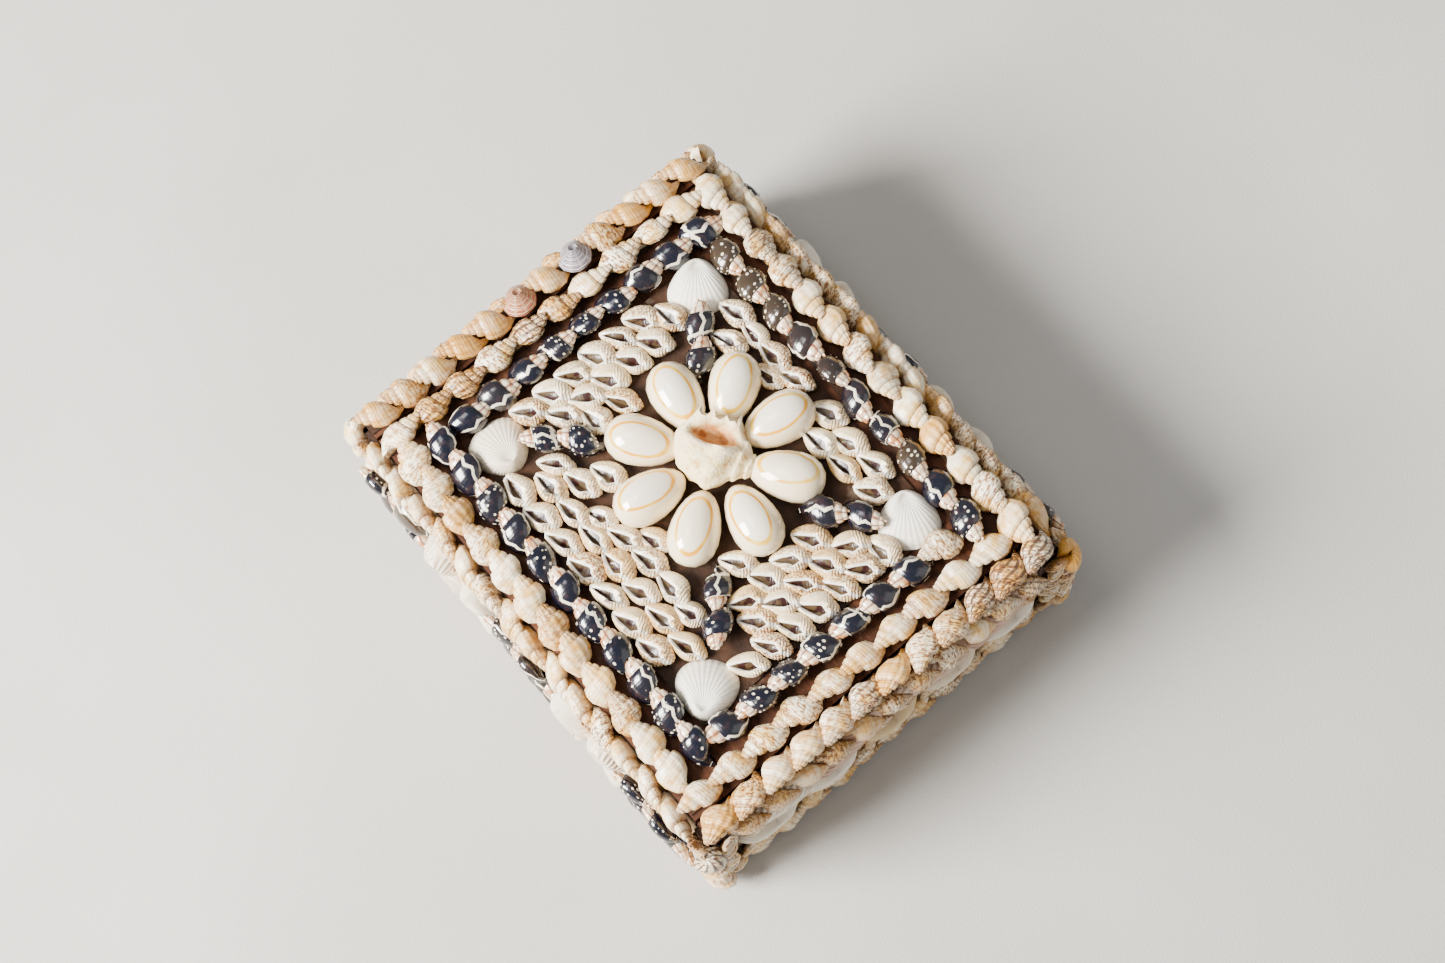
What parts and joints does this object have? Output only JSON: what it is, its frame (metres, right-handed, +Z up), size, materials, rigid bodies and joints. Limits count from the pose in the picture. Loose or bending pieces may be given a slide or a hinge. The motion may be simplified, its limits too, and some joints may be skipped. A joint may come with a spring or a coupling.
{
  "type": "shell box",
  "caption": "Rectangular wooden trinket box covered in sea shells, with a lift-off lid board set between its end boards and a flower of cowries on top.",
  "frame": {"origin": "middle of the box's underside", "axes": "+X to the right along the front end board, +Y from front to back, +Z up through the lid"},
  "size_m": [0.1446, 0.1723, 0.0719],
  "materials": {
    "wood": "aged and stained, satin",
    "cream_shell": "natural shell, satin",
    "dark_shell": "natural shell, glossy",
    "pale_shell": "natural shell, satin",
    "ivory_shell": "natural shell, glossy",
    "cockle_shell": "natural shell, matt and ribbed",
    "whelk_shell": "natural shell, rough",
    "mixed_shell": "natural shell, satin, mixed colours"
  },
  "bodies": {
    "root": {"bottom_board": "wood", "front_board": "wood", "back_board": "wood", "left_board": "wood", "right_board": "wood", "lid_board": "wood", "cream_border_front": "cream_shell", "dark_border_front": "dark_shell", "pale_field_front": "pale_shell", "rim_row_front": "mixed_shell", "foot_rows_front": "cream_shell", "wall_band_front": "mixed_shell", "cream_border_right": "cream_shell", "dark_border_right": "dark_shell", "pale_field_right": "pale_shell", "rim_row_right": "cream_shell", "foot_rows_right": "cream_shell", "wall_band_right": "mixed_shell", "cream_border_back": "cream_shell", "dark_border_back": "dark_shell", "pale_field_back": "pale_shell", "rim_row_back": "mixed_shell", "foot_rows_back": "cream_shell", "wall_band_back": "mixed_shell", "cream_border_left": "cream_shell", "dark_border_left": "dark_shell", "pale_field_left": "pale_shell", "rim_row_left": "cream_shell", "foot_rows_left": "cream_shell", "wall_band_left": "mixed_shell", "ring_cowrie_1": "ivory_shell", "ring_cowrie_2": "ivory_shell", "ring_cowrie_3": "ivory_shell", "ring_cowrie_4": "ivory_shell", "ring_cowrie_5": "ivory_shell", "ring_cowrie_6": "ivory_shell", "ring_cowrie_7": "ivory_shell", "ring_cowrie_8": "ivory_shell", "centre_whelk": "whelk_shell", "corner_cockle_1": "cockle_shell", "dark_pair_1": "dark_shell", "corner_cockle_2": "cockle_shell", "dark_pair_2": "dark_shell", "corner_cockle_3": "cockle_shell", "dark_pair_3": "dark_shell", "corner_cockle_4": "cockle_shell", "dark_pair_4": "dark_shell", "rope_row_front": "mixed_shell", "rope_row_back": "mixed_shell", "corner_heap_front_left": "mixed_shell", "corner_heap_front_right": "mixed_shell", "corner_heap_back_right": "mixed_shell", "corner_heap_back_left": "mixed_shell"}
  },
  "joints": []
}
